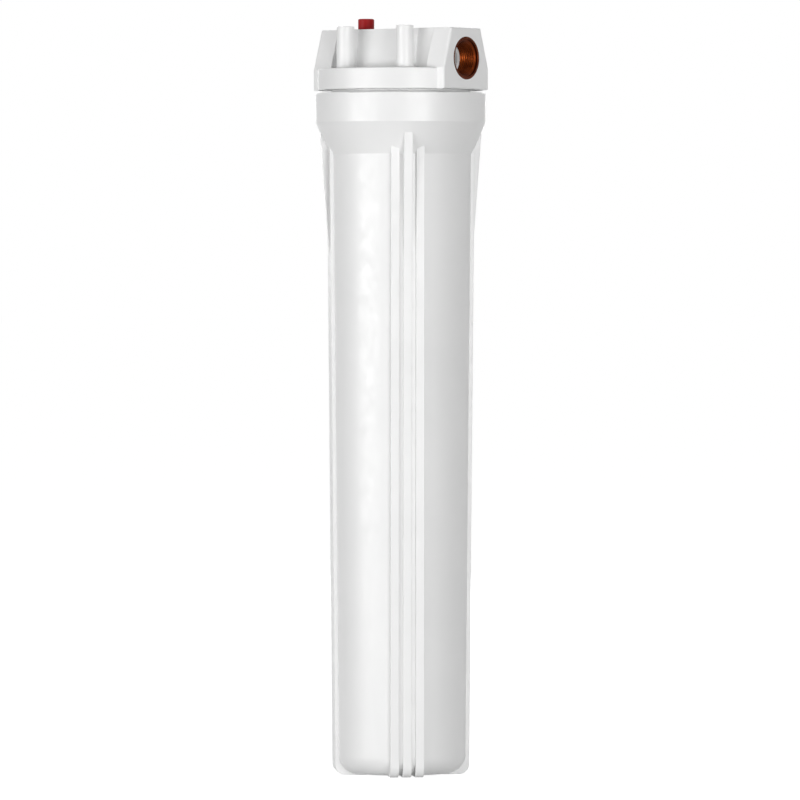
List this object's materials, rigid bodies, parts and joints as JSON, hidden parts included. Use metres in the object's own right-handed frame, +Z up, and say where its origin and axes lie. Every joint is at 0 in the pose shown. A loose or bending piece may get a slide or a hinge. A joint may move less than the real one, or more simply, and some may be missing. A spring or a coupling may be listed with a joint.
{
  "type": "water filter housing",
  "caption": "Tall white housing for a slim water filter cartridge, with a ribbed screw-on bowl, threaded ports in the cap and a red pressure-release button.",
  "frame": {"origin": "on the sump's axis, level with the rib ends that it stands on", "axes": "+Z up along the sump's axis, towards the cap; the ports lie along X, with the outlet at +X and the inlet at -X"},
  "size_m": [0.13, 0.13, 0.5777],
  "materials": {
    "white_plastic": "satin injection-moulded polypropylene",
    "red_plastic": "satin moulded plastic",
    "insert_brass": "turned brass, copper toned",
    "seal_rubber": "lubricated rubber",
    "spring_steel": "drawn stainless wire",
    "cartridge_plastic": "matt moulded plastic",
    "pleated_sheet": "matt bonded fibre",
    "end_cap_plastic": "matt potted plastic",
    "gasket_foam": "closed-cell foam rubber"
  },
  "bodies": {
    "sump_body": {"sump": "white_plastic", "cartridge_core": "cartridge_plastic", "cartridge_media": "pleated_sheet", "cartridge_cage": "cartridge_plastic", "cartridge_cap_bottom": "end_cap_plastic", "cartridge_cap_top": "end_cap_plastic", "cartridge_gasket_bottom": "gasket_foam", "cartridge_gasket_top": "gasket_foam"},
    "seal_body": {"seal_ring": "seal_rubber"},
    "cap_body": {"cap": "white_plastic", "inlet_insert": "insert_brass", "outlet_insert": "insert_brass", "button_spring": "spring_steel"},
    "button_body": {"relief_button": "red_plastic", "valve_stem": "insert_brass", "valve_seal": "seal_rubber"}
  },
  "joints": [
    {"name": "cap_lift", "type": "slide", "parent": "sump_body", "child": "seal_body", "axis": [0, 0, 1], "range_m": [0, 0.015]},
    {"name": "cap_turn", "type": "hinge", "parent": "seal_body", "child": "cap_body", "pos_m": [0, 0, 0.5223], "axis": [0, 0, 1], "range_deg": [0, 900]},
    {"name": "button_press", "type": "slide", "parent": "cap_body", "child": "button_body", "axis": [0, 0, -1], "range_m": [0, 0.0035], "stiffness_N_per_m": 400, "springref_m": -0.002, "deforming": ["button_spring"]}
  ],
  "couplings": [
    {"joint": "cap_lift", "follows": "cap_turn", "m_per_rad": 0.00095493}
  ]
}
